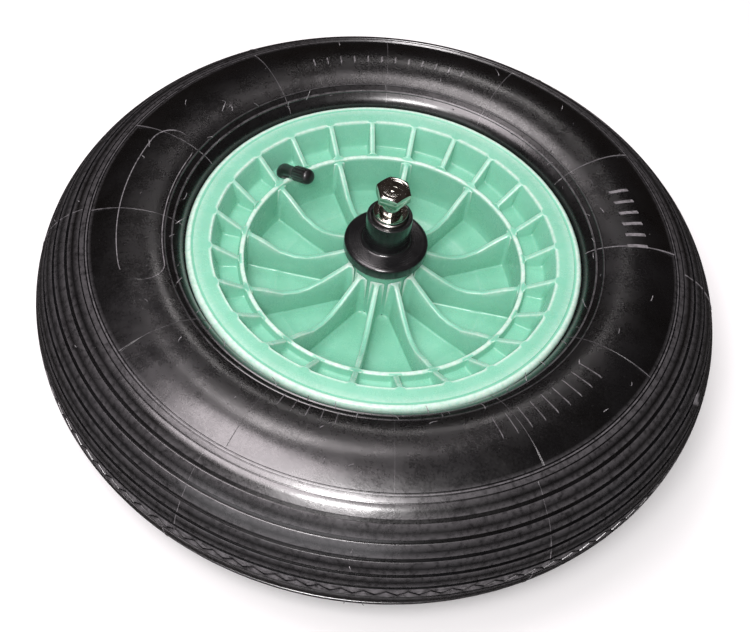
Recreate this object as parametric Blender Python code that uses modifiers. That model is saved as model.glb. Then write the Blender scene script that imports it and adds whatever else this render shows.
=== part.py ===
"""Wheelbarrow wheel: ribbed pneumatic tyre on a one-piece plastic rim, with roller bearings,
an axle with tapped ends and a bolt at each end. The wheel lies on its side: its centre is the
origin and +Z runs along the axle, out of the side that carries the tyre valve.
"""

import math

import bmesh
import bpy
from mathutils import Matrix, Vector

# ---- driving dimensions, in mm ----
TYRE_RADIUS = 204.5  # 16 inch class tyre, 4.80/4.00 section for an 8 inch rim
TYRE_CROWN = 57.0  # radial half height of the crown ellipse
TYRE_HALF_WIDTH = 54.0
TREAD_GROOVES = (5.2, 25.3, 46.7)  # arc length from the centre of the tread
GROOVE_HALF = 1.3
GROOVE_DEPTH = 1.8

RIM_RADIUS = 117.0
RIM_HALF = 43.0  # flange plane above the middle plane
SEAT_RADIUS = 101.6  # 8 inch bead seat
MOUTH_RADIUS = 102.0
POCKET_FLOOR = 26.0
RING_OUTER = 85.4
RING_INNER = 82.7
RING_TOP = 31.0
WEB_HALF = 1.75
HUB_RADIUS = 19.4
HUB_HALF = 40.0
RIB_THICK = 3.6
LONG_RIBS = 12
RIB_TOP = (  # radius, height of the long rib's crest
    (22.0, 32.5), (38.0, 22.5), (46.0, 18.6), (53.0, 17.4), (60.0, 18.2), (67.0, 21.8),
    (84.0, 30.6), (100.6, 41.6),
)

AXLE_RADIUS = 10.0
AXLE_HALF = 71.0
TAPPED_RADIUS = 6.2
TAPPED_BOTTOM = 37.0
SPACER_FLANGE = 24.7
SPACER_NECK = 13.4
SPACER_BORE = 10.6
SPACER_TOP = 69.8
ROLLERS = 8
ROLLER_RADIUS = 2.15
ROLLER_PITCH = 12.5
ROLLER_LENGTH = 9.0
BEARING_MIDDLE = 32.0
SLEEVE_RADIUS = 16.1
SLEEVE_BORE = 15.0
SLEEVE_LENGTH = 14.0

BOLT_AF = 18.0  # M12, 18 mm across flats
BOLT_HEAD = 7.5
BOLT_UNDER = 84.5  # the bolt stands this far out, unscrewed from the fork
BOLT_SHANK = 5.9
BOLT_LENGTH = 35.0
CORNER_REACH = 1.5  # wider than the head's corners
WASHER_RADIUS = 10.1
WASHER_BORE = 6.2
WASHER_THICK = 2.5

VALVE_ANGLE = math.radians(142.5)
VALVE_RADIUS = 92.3
VALVE_FOOT = 13.5
VALVE_BEND_START = 27.0
VALVE_BEND_RADIUS = 5.0
VALVE_TILT = math.radians(62.2)
VALVE_HOLE = 5.0
SLEEVE_RUN = 9.0  # the valve's rubber goes on this far past its bend
VALVE_RUN = 22.0  # and its brass tube this far
NOTCH_WIDTH = 10.6

SEGMENTS = 48
RIM_SEGMENTS = 36
STEPS = 28
MM = 0.001


def clear():
    for obj in list(bpy.data.objects):
        bpy.data.objects.remove(obj)


def collection(name, hidden=False):
    made = bpy.data.collections.new(name)
    bpy.context.scene.collection.children.link(made)
    made.hide_render = hidden
    return made


def material(name, colour, roughness, metallic=0.0):
    made = bpy.data.materials.new(name)
    made.use_nodes = True
    shader = made.node_tree.nodes["Principled BSDF"]
    shader.inputs["Base Color"].default_value = (*colour, 1.0)
    shader.inputs["Roughness"].default_value = roughness
    shader.inputs["Metallic"].default_value = metallic
    return made


def add(name, mesh, where, surface=None):
    obj = bpy.data.objects.new(name, mesh)
    where.objects.link(obj)
    if surface:
        mesh.materials.append(surface)
    if where.hide_render:
        obj.hide_render = True
        obj.display_type = "WIRE"
    return obj


def turned(name, profile, surface, steps=STEPS, closed=True):
    """A turned piece from a profile of (radius, height) in mm that runs down its outer side."""
    count = len(profile)
    edges = [(i, i + 1) for i in range(count - 1)]
    if closed:
        edges.append((count - 1, 0))
    mesh = bpy.data.meshes.new(name)
    mesh.from_pydata([(r * MM, 0.0, z * MM) for r, z in profile], edges, [])
    obj = add(name, mesh, PARTS, surface)
    screw = obj.modifiers.new("Turn", "SCREW")
    screw.steps = screw.render_steps = steps
    screw.use_merge_vertices = True
    screw.merge_threshold = 0.00001
    screw.use_smooth_shade = True
    return obj


def mirrored(profile):
    """The same profile on the lower side, still running down its outer side."""
    return [(r, -z) for r, z in reversed(profile)]


def boolean(obj, other, operation="DIFFERENCE"):
    cut = obj.modifiers.new(other.name, "BOOLEAN")
    cut.object = other
    cut.operation = operation
    cut.solver = "EXACT"


def helper(name, build):
    """A hidden object from a bmesh that holds one or more closed shapes."""
    bmesh.ops.recalc_face_normals(build, faces=build.faces)
    mesh = bpy.data.meshes.new(name)
    build.to_mesh(mesh)
    build.free()
    return add(name, mesh, CUTTERS)


def turned_helper(name, profile, steps):
    """A turned shape with both ends of its profile on the axis, for use in a Boolean."""
    made = turned(name, profile, None, steps, closed=False)
    PARTS.objects.unlink(made)
    CUTTERS.objects.link(made)
    made.hide_render = True
    made.display_type = "WIRE"
    return made


def add_plate(build, outline, thick, angle):
    """Adds a plate with an outline of (radius, height), standing radially at the given angle."""
    turn = Matrix.Rotation(angle, 3, "Z")
    corners = [build.verts.new(turn @ Vector((r, -thick / 2, z)) * MM) for r, z in outline]
    side = build.faces.new(corners)
    grown = bmesh.ops.extrude_face_region(build, geom=[side])["geom"]
    moved = [item for item in grown if isinstance(item, bmesh.types.BMVert)]
    bmesh.ops.translate(build, verts=moved, vec=turn @ Vector((0, thick, 0)) * MM)


def add_bar(build, centre, radius, low, high, sides=24):
    """Adds an upright round or many-sided bar at a place in the plan."""
    middle = Vector((centre[0], centre[1], (low + high) / 2)) * MM
    bmesh.ops.create_cone(
        build, cap_ends=True, segments=sides, radius1=radius * MM, radius2=radius * MM,
        depth=(high - low) * MM, matrix=Matrix.Translation(middle),
    )


# ---- tyre ----
def crown_point(arc):
    """Point of the crown ellipse at an arc length from the centre of the tread."""
    step, travelled, angle = 0.002, 0.0, 0.0
    while travelled < arc:
        rise = TYRE_CROWN * math.sin(angle)
        travelled += math.hypot(rise, TYRE_HALF_WIDTH * math.cos(angle)) * step
        angle += step
    radius = TYRE_RADIUS - TYRE_CROWN + TYRE_CROWN * math.cos(angle)
    return radius, TYRE_HALF_WIDTH * math.sin(angle), angle


def tyre_profile():
    tread = [crown_point(0.0)[:2]]
    for arc in TREAD_GROOVES:
        for offset, depth in ((-GROOVE_HALF, 0.0), (0.0, GROOVE_DEPTH), (GROOVE_HALF, 0.0)):
            radius, height, angle = crown_point(arc + offset)
            tread.append((radius - depth * math.cos(angle), height - depth * math.sin(angle)))
        tread.append(crown_point(arc + 10.4)[:2])
    side = [(165.0, 51.8), (150.0, 54.0), (137.0, 53.0), (127.0, 49.2), (120.6, 44.0), (118.2, 36.5)]
    bead = [(106.6, 35.7), (103.3, 34.2), (102.2, 31.9), (108.4, 31.9), (108.4, 26.0)]
    toe = [(101.3, 26.0), (100.95, 23.4), (103.0, 21.6)]
    inside = [(110.0, 26.0), (118.5, 36.8), (130.0, 46.0), (149.0, 49.6), (168.0, 44.6)]
    inside += [(186.0, 29.8), (194.4, 13.0)]
    upper_outer = list(reversed(tread + side + bead + toe))
    outer = upper_outer + [(r, -z) for r, z in (tread + side + bead + toe)[1:]]
    inner = [(r, -z) for r, z in inside] + [(196.2, 0.0)] + list(reversed(inside))
    return outer + inner


def bead_wire(name, side):
    ring = []
    for i in range(6):
        angle = math.pi / 6 - 2 * math.pi * i / 6
        ring.append((105.2 + 2.5 * math.cos(angle), side * 28.95 + 2.5 * math.sin(angle)))
    return turned(name, ring, STEEL_WIRE, SEGMENTS)


# ---- rim ----
def rim_profile():
    flange = [(MOUTH_RADIUS, RIM_HALF), (113.0, RIM_HALF), (116.0, 42.3), (RIM_RADIUS, 40.0)]
    flange += [(116.2, 37.0), (106.8, 36.0), (103.0, 34.6)]
    seat = [(SEAT_RADIUS, 31.5), (100.5, 24.0), (98.8, 22.2), (88.2, 22.0), (85.5, 19.4)]
    outer = flange + seat
    hub = [(12.6, 24.2), (16.4, 24.2)]
    bore = [(16.4, HUB_HALF), (HUB_RADIUS - 0.6, HUB_HALF), (HUB_RADIUS, 39.2), (20.2, 3.4)]
    dish = [(22.0, WEB_HALF), (80.4, WEB_HALF), (82.2, 3.4), (RING_INNER, RING_TOP)]
    pocket = [(RING_OUTER, RING_TOP), (85.9, POCKET_FLOOR), (97.6, POCKET_FLOOR)]
    pocket += [(98.8, 38.0), (100.1, 41.6)]
    inner = bore + dish + pocket
    return outer + mirrored(outer) + mirrored(inner) + mirrored(hub) + hub + inner


def rib_outline(long_rib):
    crest = [(r, z) for r, z in RIB_TOP if long_rib or r >= 84.0]
    prong = [(98.9, 24.4), (84.3, 24.4)]
    if long_rib:
        upper = [(18.4, 32.5)] + crest + prong
        return [upper + mirrored(upper)]
    upper = crest + prong
    return [upper, [(r, -z) for r, z in upper]]


def rib_set():
    build = bmesh.new()
    for i in range(2 * LONG_RIBS):
        for outline in rib_outline(i % 2 == 0):
            add_plate(build, outline, RIB_THICK, math.radians(15.0 * i))
    return helper("rib_set", build)


def valve_openings():
    """The hole that the valve stands in, and the notch that it leaves the ring through."""
    build = bmesh.new()
    hole = Matrix.Rotation(VALVE_ANGLE, 3, "Z") @ Vector((VALVE_RADIUS, 0, 0))
    add_bar(build, hole, VALVE_HOLE, 17.0, 30.0)
    notch = [(79.0, 28.2), (87.0, 28.2), (87.0, 36.0), (79.0, 36.0)]
    add_plate(build, notch, NOTCH_WIDTH, VALVE_ANGLE)
    return helper("valve_openings", build)


def rim():
    body = turned("rim", rim_profile(), GREEN, RIM_SEGMENTS)
    boolean(body, rib_set(), "UNION")
    boolean(body, valve_openings())
    return body


# ---- axle, spacers, bearings ----
def axle():
    end = [(TAPPED_RADIUS, AXLE_HALF), (AXLE_RADIUS - 0.8, AXLE_HALF)]
    end += [(AXLE_RADIUS, AXLE_HALF - 0.8)]
    well = [(0.0, TAPPED_BOTTOM - 3.5), (TAPPED_RADIUS, TAPPED_BOTTOM)]
    upper = well + end
    return turned("axle", upper + mirrored(upper), STEEL, STEPS, closed=False)


def spacer(name, side):
    profile = [(SPACER_BORE, SPACER_TOP), (12.6, SPACER_TOP), (SPACER_NECK, SPACER_TOP - 0.8)]
    profile += [(SPACER_NECK + 0.3, 50.2), (14.6, 49.2), (23.2, 48.6), (SPACER_FLANGE, 47.0)]
    profile += [(SPACER_FLANGE, 41.2), (24.2, 40.5), (SPACER_BORE, 40.5)]
    if side < 0:
        profile = mirrored(profile)
    return turned(name, profile, BLACK, 30)


def sleeve(name, side):
    low = BEARING_MIDDLE - SLEEVE_LENGTH / 2
    high = BEARING_MIDDLE + SLEEVE_LENGTH / 2
    profile = [(SLEEVE_BORE, high), (SLEEVE_RADIUS, high), (SLEEVE_RADIUS, low), (SLEEVE_BORE, low)]
    return turned(name, mirrored(profile) if side < 0 else profile, STEEL_BRIGHT, 30)


def roller_place(index):
    angle = 2 * math.pi * (index + 0.5) / ROLLERS
    return ROLLER_PITCH * math.cos(angle), ROLLER_PITCH * math.sin(angle), angle


def cage(name, side):
    low, high = BEARING_MIDDLE - 6.4, BEARING_MIDDLE + 6.4
    profile = [(11.0, high), (13.9, high), (13.9, low), (11.0, low)]
    body = turned(name, mirrored(profile) if side < 0 else profile, NYLON, 32)
    half = ROLLER_LENGTH / 2 + 0.35
    middle = side * BEARING_MIDDLE
    box = [(9.0, middle - half), (16.0, middle - half), (16.0, middle + half), (9.0, middle + half)]
    windows = bmesh.new()
    for i in range(ROLLERS):
        add_plate(windows, box, 2 * ROLLER_RADIUS + 0.7, roller_place(i)[2])
    boolean(body, helper(name + "_windows", windows))
    return body


def roller(name, index, side):
    x, y, _ = roller_place(index)
    half = ROLLER_LENGTH / 2
    upper = [(0.0, half), (ROLLER_RADIUS - 0.4, half), (ROLLER_RADIUS, half - 0.4)]
    made = turned(name, upper + mirrored(upper), STEEL_BRIGHT, 8, closed=False)
    made.location = Vector((x, y, side * BEARING_MIDDLE)) * MM
    return made


# ---- bolts and washers ----
def bolt(name, side, turn):
    """A hexagon head with chamfered corners on a plain shank. Height 0 is under the head."""
    build = bmesh.new()
    add_bar(build, (0, 0), BOLT_AF / 2 / math.cos(math.pi / 6), 0.0, BOLT_HEAD, sides=6)
    mesh = bpy.data.meshes.new(name)
    build.to_mesh(mesh)
    build.free()
    made = add(name, mesh, PARTS, ZINC)
    wide = BOLT_AF / 2 + CORNER_REACH
    lens = [(0.0, BOLT_HEAD + 1.0), (BOLT_AF / 2 - 0.3, BOLT_HEAD + 1.0), (BOLT_AF / 2 - 0.3, BOLT_HEAD)]
    lens += [(wide, BOLT_HEAD - 1.3), (wide, 0.6), (BOLT_AF / 2 + 0.2, -0.1), (0.0, -0.1)]
    boolean(made, turned_helper(name + "_chamfer", lens, 24), "INTERSECT")
    shank = [(0.0, 2.0), (BOLT_SHANK, 2.0), (BOLT_SHANK, 1.2 - BOLT_LENGTH)]
    shank += [(BOLT_SHANK - 1.0, -BOLT_LENGTH), (0.0, -BOLT_LENGTH)]
    boolean(made, turned_helper(name + "_shank", shank, 24), "UNION")
    flip = Matrix.Rotation(math.pi if side < 0 else 0.0, 4, "X")
    for piece in (made, bpy.data.objects[name + "_chamfer"], bpy.data.objects[name + "_shank"]):
        piece.matrix_world = (
            Matrix.Translation((0, 0, side * BOLT_UNDER * MM)) @ flip @ Matrix.Rotation(turn, 4, "Z")
        )
    return made


def spring_washer(name, side):
    """A square ring with a cut through it."""
    low, high = AXLE_HALF + 0.3, AXLE_HALF + 0.3 + WASHER_THICK
    profile = [(WASHER_BORE, high), (WASHER_RADIUS, high), (WASHER_RADIUS, low), (WASHER_BORE, low)]
    ring = turned(name, mirrored(profile) if side < 0 else profile, ZINC, 32)
    build = bmesh.new()
    middle = side * (low + high) / 2
    gap = [(4.0, middle - 3.0), (14.0, middle - 3.0), (14.0, middle + 3.0), (4.0, middle + 3.0)]
    add_plate(build, gap, 1.1, math.radians(60.0))
    boolean(ring, helper(name + "_gap", build))
    return ring


# ---- valve ----
def valve_point(travel):
    """Point of the valve's centre line in its own plane, at a distance along it from its foot."""
    straight = VALVE_BEND_START - VALVE_FOOT
    tilt = min(max((travel - straight) / VALVE_BEND_RADIUS, 0.0), VALVE_TILT)
    across = VALVE_BEND_RADIUS * (1 - math.cos(tilt))
    rise = VALVE_BEND_RADIUS * math.sin(tilt)
    beyond = max(0.0, travel - straight - VALVE_BEND_RADIUS * VALVE_TILT)
    centre = Vector((VALVE_RADIUS - across, 0, VALVE_FOOT + min(travel, straight) + rise))
    return centre + Vector((-math.sin(tilt), 0, math.cos(tilt))) * beyond


BEND_START = VALVE_BEND_START - VALVE_FOOT
BEND_END = BEND_START + VALVE_BEND_RADIUS * VALVE_TILT


def bend_stations():
    return [BEND_START + (BEND_END - BEND_START) * i / 4 for i in range(5)]


def piped(name, stations, resolution, where, surface=None):
    """A round piece along the valve's line from (distance, radius), made from a bevelled curve."""
    curve = bpy.data.curves.new(name, "CURVE")
    curve.dimensions = "3D"
    curve.bevel_depth = MM
    curve.bevel_resolution = resolution
    curve.use_fill_caps = True
    line = curve.splines.new("POLY")
    line.points.add(len(stations) - 1)
    for point, (travel, radius) in zip(line.points, stations):
        point.co = (*(valve_point(travel) * MM), 1.0)
        point.radius = radius
    guide = bpy.data.objects.new(name, curve)
    PARTS.objects.link(guide)
    bpy.context.view_layer.update()
    mesh = bpy.data.meshes.new_from_object(guide.evaluated_get(bpy.context.evaluated_depsgraph_get()))
    bpy.data.objects.remove(guide)
    build = bmesh.new()
    build.from_mesh(mesh)
    bmesh.ops.remove_doubles(build, verts=build.verts, dist=0.00001)
    bmesh.ops.rotate(build, verts=build.verts, matrix=Matrix.Rotation(VALVE_ANGLE, 3, "Z"))
    bmesh.ops.recalc_face_normals(build, faces=build.faces)
    build.to_mesh(mesh)
    build.free()
    mesh.materials.clear()
    return add(name, mesh, where, surface)


def valve_stem():
    end = BEND_END + SLEEVE_RUN
    rubber = [(0.0, 4.0), (2.2, 6.0), (5.6, 6.0), (6.8, 4.6), (12.9, 4.6)]
    rubber += [(t, 4.5 - 0.22 * i) for i, t in enumerate(bend_stations())] + [(end, 3.4)]
    stem = piped("valve_stem", rubber, 6, PARTS, RUBBER_SOFT)
    bore = [(-1.0, 2.5)] + [(t, 2.5) for t in bend_stations()] + [(end + 1.0, 2.5)]
    boolean(stem, piped("stem_bore", bore, 6, CUTTERS))


def valve_tube():
    end, tip = BEND_END + SLEEVE_RUN + 0.3, BEND_END + VALVE_RUN
    brass = [(-0.6, 2.1)] + [(t, 2.1) for t in bend_stations()]
    brass += [(end, 2.1), (end + 0.1, 3.7), (tip - 0.5, 3.7), (tip, 3.3)]
    tube = piped("valve_tube", brass, 4, PARTS, BRASS)
    hollow = [(-2.0, 1.2)] + [(t, 1.2) for t in bend_stations()]
    hollow += [(end, 1.2), (end + 2.7, 1.6), (tip + 1.0, 1.6)]
    boolean(tube, piped("tube_hollow", hollow, 4, CUTTERS))


def valve_ends():
    end, tip = BEND_END + SLEEVE_RUN, BEND_END + VALVE_RUN
    pin = [(end + 4.0, 1.2), (tip - 3.2, 1.2), (tip - 3.0, 0.7), (tip - 0.6, 0.7)]
    piped("valve_pin", pin, 4, PARTS, BRASS)
    shell = [(end + 1.0, 4.9), (tip + 1.2, 4.9), (tip + 2.2, 4.2)]
    cap = piped("valve_cap", shell, 7, PARTS, BLACK_CAP)
    well = [(end - 1.0, 4.0), (tip + 0.6, 4.0)]
    boolean(cap, piped("cap_well", well, 7, CUTTERS))


def set_origin(name, point):
    """Moves the object's own origin to a point in mm and leaves its shape where it is."""
    obj = bpy.data.objects[name]
    obj.data.transform(Matrix.Translation(-point * MM))
    obj.location = point * MM


clear()
PARTS = collection("wheelbarrow_wheel")
CUTTERS = collection("cutters", hidden=True)
RUBBER = material("tyre_rubber", (0.018, 0.018, 0.020), 0.55)
RUBBER_SOFT = material("valve_rubber", (0.012, 0.012, 0.012), 0.6)
GREEN = material("green_plastic", (0.14, 0.50, 0.32), 0.38)
BLACK = material("black_plastic", (0.008, 0.008, 0.009), 0.22)
BLACK_CAP = material("cap_plastic", (0.012, 0.012, 0.012), 0.35)
NYLON = material("cage_nylon", (0.62, 0.58, 0.48), 0.5)
STEEL = material("axle_steel", (0.60, 0.58, 0.55), 0.3, 1.0)
STEEL_BRIGHT = material("bearing_steel", (0.66, 0.66, 0.66), 0.2, 1.0)
STEEL_WIRE = material("bead_steel", (0.45, 0.38, 0.30), 0.4, 1.0)
ZINC = material("zinc_plate", (0.72, 0.72, 0.70), 0.22, 1.0)
BRASS = material("valve_brass", (0.72, 0.55, 0.25), 0.3, 1.0)

turned("tyre", tyre_profile(), RUBBER, SEGMENTS)
rim()
axle()
for label, up in (("upper", 1), ("lower", -1)):
    bead_wire("bead_wire_" + label, up)
    spacer("spacer_" + label, up)
    sleeve("bearing_sleeve_" + label, up)
    cage("bearing_cage_" + label, up)
    for number in range(ROLLERS):
        roller(f"roller_{label}_{number + 1:02d}", number, up)
    spring_washer("spring_washer_" + label, up)
    bolt("bolt_" + label, up, math.radians(21.0 if up > 0 else 5.0))
valve_stem()
valve_tube()
valve_ends()
BEND_POINT = Matrix.Rotation(VALVE_ANGLE, 3, "Z") @ valve_point(BEND_END)
for piece in ("valve_stem", "valve_tube", "valve_pin", "valve_cap"):
    set_origin(piece, BEND_POINT)
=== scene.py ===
"""Looks of the wheelbarrow wheel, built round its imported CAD. Lengths are in mm until the
mesh is made. The wheel lies on its side, its axle along +Z, with the valve side up.
"""

import math
import random

import bmesh
import bpy
import numpy as np
from mathutils import Matrix, Vector

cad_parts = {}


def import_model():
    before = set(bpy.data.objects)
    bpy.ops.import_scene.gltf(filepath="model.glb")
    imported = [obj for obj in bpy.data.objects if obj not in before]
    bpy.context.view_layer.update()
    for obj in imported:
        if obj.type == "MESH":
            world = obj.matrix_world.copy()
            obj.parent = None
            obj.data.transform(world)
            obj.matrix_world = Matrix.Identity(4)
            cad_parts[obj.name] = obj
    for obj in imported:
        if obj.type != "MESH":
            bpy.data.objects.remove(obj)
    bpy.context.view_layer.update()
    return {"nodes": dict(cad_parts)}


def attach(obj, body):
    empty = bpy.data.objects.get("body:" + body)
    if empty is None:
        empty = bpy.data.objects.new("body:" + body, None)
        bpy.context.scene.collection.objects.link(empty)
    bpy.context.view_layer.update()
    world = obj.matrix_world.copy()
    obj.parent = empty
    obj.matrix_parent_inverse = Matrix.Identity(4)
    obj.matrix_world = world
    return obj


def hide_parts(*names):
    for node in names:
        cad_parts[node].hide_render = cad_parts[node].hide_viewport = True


MM = 0.001
TURN = 2 * math.pi

# ---- tyre ----
TYRE_RADIUS = 204.5
TYRE_CROWN = 57.0
TYRE_HALF_WIDTH = 54.0
TYRE_COLUMNS = 432
SIDEWALL = (
    (152.0, 53.85), (147.5, 54.0), (137.0, 53.1), (127.0, 49.9), (120.5, 45.6), (118.0, 41.0), (117.6, 36.3),
    (117.5, 33.0),
)
BEAD = (
    (106.6, 35.7), (103.3, 34.2), (102.2, 31.9), (108.4, 31.9), (108.4, 26.0), (101.3, 26.0), (100.95, 23.4),
    (103.0, 21.6),
)
LINER = (
    (110.0, 26.0), (118.5, 36.8), (130.0, 46.0), (149.0, 49.6), (168.0, 44.6), (186.0, 29.8), (194.4, 13.0),
)
LINER_CROWN = 196.2
TREAD_GROOVES = (5.2, 15.0, 25.3, 35.8, 46.7)  # arc length from the middle of the tread
GROOVE_DEPTH = 1.15
SIPE_SWING = 1.5
TREAD_EDGE = 55.5  # arc length at which the last rib ends
GUIDE_RINGS = ((128.6, 0.35, 0.35), (124.6, 0.55, 0.5))  # radius, height and half width of each raised ring
SEAM_ANGLES = (6, 37, 66, 96, 127, 158, 186, 217, 247, 277, 306, 336)
SEAM_END = 119.4  # radius at which a sidewall seam ends
PANEL_MIDDLE = math.radians(185.0)
PANEL_REACH = math.radians(24.0)
PANEL_HALF_WIDTH = 13.0
PANEL_ARC = 92.0
BAR_PITCH = 3.4  # degrees
BAR_GROUPS = (  # middle in degrees, count, and the arc lengths between which the bars lie
    (262, 5, 97, 107), (318, 9, 84, 97), (20, 6, 80, 92), (100, 12, 84, 89),
)
RIM_HAIRS = 46
SIDE_HAIRS = 80
TREAD_HAIRS = 28
HAIR_RIBS = (-51.0, -41.0, -30.5, -20.0, 20.0, 30.5, 41.0, 51.0)  # arc lengths of the ribs that carry hairs
HAIR_TAPER = ((0.0, 0.3), (0.35, 0.27), (0.7, 0.24), (1.0, 0.17))  # share of the length, radius

# ---- rim ----
RIM_BLOCKS = 24
RIB_SIDE = (0.0, 0.75, 1.25, 1.6, 1.8, 2.3, 2.8, 3.6)  # distances from a rib's middle plane
RIB_DROP = (0.0, 0.09, 0.34, 0.9)  # rounding of its crest at the first four
RIB_FOOT = (0.9, 0.28, 0.06, 0.0)  # fillet at its foot at the last four
MID_SHARES = (-0.757, -0.676, 0.0, 0.676, 0.757)
RIB_CREST = (
    (22.0, 32.5), (30.0, 27.5), (38.0, 22.5), (46.0, 18.6), (53.0, 17.4), (62.0, 19.0),
    (67.0, 21.8), (74.0, 26.0), (84.0, 30.6), (92.0, 36.4), (99.0, 41.5), (101.6, 43.0),
)
RIB_START = 20.0
RIB_END = 102.2
SHORT_RIB_START = 85.3
RIB_ROOTS = (  # radius of a wall that a rib runs into, the side it comes from and the fillet there
    (101.8, -1, 1.0), (85.6, 1, 1.4), (81.9, -1, 1.8), (20.4, 1, 2.6),
)
HUB_SHOULDER = (12.6, 24.2)
HUB_BORE = ((16.4, 24.2), (16.4, 39.4), (17.0, 40.0))
DISH = (
    (18.8, 40.0), (19.4, 39.3), (19.5, 33.0), (19.8, 22.0), (20.3, 4.4), (20.8, 2.9), (22.4, 1.95),
    (25.0, 1.75), (30.0, 1.75), (38.0, 1.75), (46.0, 1.75), (53.0, 1.75), (61.6, 1.75), (62.2, 2.1),
    (68.0, 2.1), (74.0, 2.1), (79.4, 2.2), (80.9, 2.7), (81.6, 3.9), (81.9, 10.0), (82.2, 18.0), (82.5, 28.0),
)
RING = (
    (82.6, 30.0), (82.9, 30.7), (83.4, 31.0), (84.7, 31.0), (85.2, 30.7), (85.5, 30.0), (86.0, 27.3),
    (86.5, 26.3), (87.4, 26.0),
)
POCKET = (
    (88.3, 26.0), (90.5, 26.0), (93.5, 26.0), (95.6, 26.0), (96.8, 26.2), (97.5, 26.8), (97.9, 28.0),
    (98.9, 32.0), (100.1, 36.6), (101.4, 41.2), (101.8, 42.3), (102.4, 43.0),
)
FLANGE = (
    (104.0, 43.05), (108.0, 43.05), (112.3, 43.0), (112.7, 42.55), (113.1, 42.6), (113.6, 43.1),
    (114.5, 43.3), (115.6, 42.9), (116.6, 41.8), (117.0, 40.2), (116.8, 38.2), (116.2, 37.2),
)
BARREL = (
    (112.0, 36.4), (106.8, 36.0), (104.0, 35.3), (102.9, 34.2), (101.6, 31.5), (101.0, 27.5), (100.5, 24.0),
    (99.6, 22.7), (98.2, 22.1), (88.4, 22.0), (86.4, 21.2), (85.5, 19.4), (85.5, 8.0),
)
NOTCH_BLOCK = 9  # the block with the valve, from 135 to 150 degrees
NOTCH_FLOOR = 28.2
NOTCH_SPAN = (82.0, 86.3)  # radii between which the ring is cut down for the valve

# ---- metal and small parts ----
AXLE_RADIUS = 10.0
AXLE_HALF = 71.0
TAPPED_RADIUS = 6.2
TAPPED_BOTTOM = 37.0
SPACER_BORE = 10.6
SPACER = (
    (SPACER_BORE, 69.8), (13.3, 69.8), (13.45, 60.0), (13.75, 50.6), (14.9, 49.4), (22.9, 48.7), (24.7, 47.6),
    (24.7, 41.6), (24.1, 40.5), (SPACER_BORE, 40.5),
)
BOLT_AF = 18.0
BOLT_HEAD = 7.5
BOLT_UNDER = 84.5
BOLT_SHANK = 5.9
BOLT_LENGTH = 35.0
THREAD_PITCH = 1.75
THREAD_DEPTH = 0.95
BOLT_COLUMNS = 96
HEAD_DISH = ((6.9, -0.02), (6.5, -0.22), (6.1, -0.25), (2.6, -0.3), (2.2, -0.12), (1.5, -0.1), (0.4, -0.1))
PLAIN_SHANK = -11.0  # the thread starts this far under the head
WASHER_RADIUS = 10.1
WASHER_BORE = 6.2
WASHER_THICK = 2.5
WASHER_TURN = (64.0, 416.0)  # degrees; the split lies between its ends
WASHER_LEAD = 0.03  # how far the split's faces lean, in radians to a mm

VALVE_ANGLE = math.radians(142.5)
VALVE_RADIUS = 92.3
VALVE_FOOT = 13.5
VALVE_STRAIGHT = 13.5
VALVE_BEND = 5.0
VALVE_TILT = math.radians(62.2)
BEND_END = VALVE_STRAIGHT + VALVE_BEND * VALVE_TILT
SLEEVE_END = BEND_END + 9.0
VALVE_TIP = BEND_END + 22.0

# ---- camera and stage ----
CAMERA_AZIMUTH = 3.76
CAMERA_ELEVATION = 51.59
CAMERA_ROLL = -8.73
CAMERA_DISTANCE = 892.0
CAMERA_TARGET = (1.516, -19.402, 0.0)
CAMERA_LENS = 71.04
FLOOR = -92.6
WORLD_FILL = (0.50, 0.49, 0.49, 1.0)
WORLD_REFLECTED = (0.022, 0.016, 0.013, 1.0)
WORLD_SEEN = (1.0, 1.0, 1.0, 1.0)


# ---- meshes ----
def place(obj, surface, body, nodes=()):
    obj.data.materials.append(surface)
    if nodes:
        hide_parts(*nodes)
    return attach(obj, body)


def skinned(name, points, faces, sharp=32.0):
    """An object from points in mm and faces, turned to face out, with its hard edges marked."""
    mesh = bpy.data.meshes.new(name)
    mesh.from_pydata(np.asarray(points) * MM, [], faces)
    build = bmesh.new()
    build.from_mesh(mesh)
    if build.calc_volume(signed=True) < 0:
        bmesh.ops.reverse_faces(build, faces=build.faces)
    for face in build.faces:
        face.smooth = True
    limit = math.radians(sharp)
    for edge in build.edges:
        edge.smooth = edge.calc_face_angle(0.0) < limit
    build.to_mesh(mesh)
    build.free()
    obj = bpy.data.objects.new(name, mesh)
    bpy.context.scene.collection.objects.link(obj)
    return obj


def grid_faces(rows, columns, closed, start=0):
    index = start + np.arange(rows * columns).reshape(rows, columns)
    beside = np.roll(index, -1, axis=1)
    if closed:
        above, far = np.roll(index, -1, axis=0), np.roll(beside, -1, axis=0)
        return np.stack([index, beside, far, above], -1).reshape(-1, 4).tolist()
    faces = np.stack([index[:-1], beside[:-1], beside[1:], index[1:]], -1).reshape(-1, 4).tolist()
    return faces + [index[0][::-1].tolist(), index[-1].tolist()]


def grid(name, points, closed=True, sharp=32.0):
    """A skin through rows of points, each row running round the piece."""
    rows, columns = points.shape[:2]
    return skinned(name, points.reshape(-1, 3), grid_faces(rows, columns, closed), sharp)


def gathered(name, parts, sharp=32.0):
    """One object from several (rows, columns, 3) skins, each capped at both ends."""
    points, faces, start = [], [], 0
    for part in parts:
        rows, columns = part.shape[:2]
        points.append(part.reshape(-1, 3))
        faces += grid_faces(rows, columns, False, start)
        start += rows * columns
    return skinned(name, np.concatenate(points), faces, sharp)


def revolved(profile, columns):
    """Rows of points from a profile of (radius, height)."""
    angle = TURN * np.arange(columns) / columns
    flat = np.asarray(profile, float)
    radius, height = flat[:, :1], flat[:, 1:]
    return np.stack([radius * np.cos(angle), radius * np.sin(angle), height + 0 * angle], -1)


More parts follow.
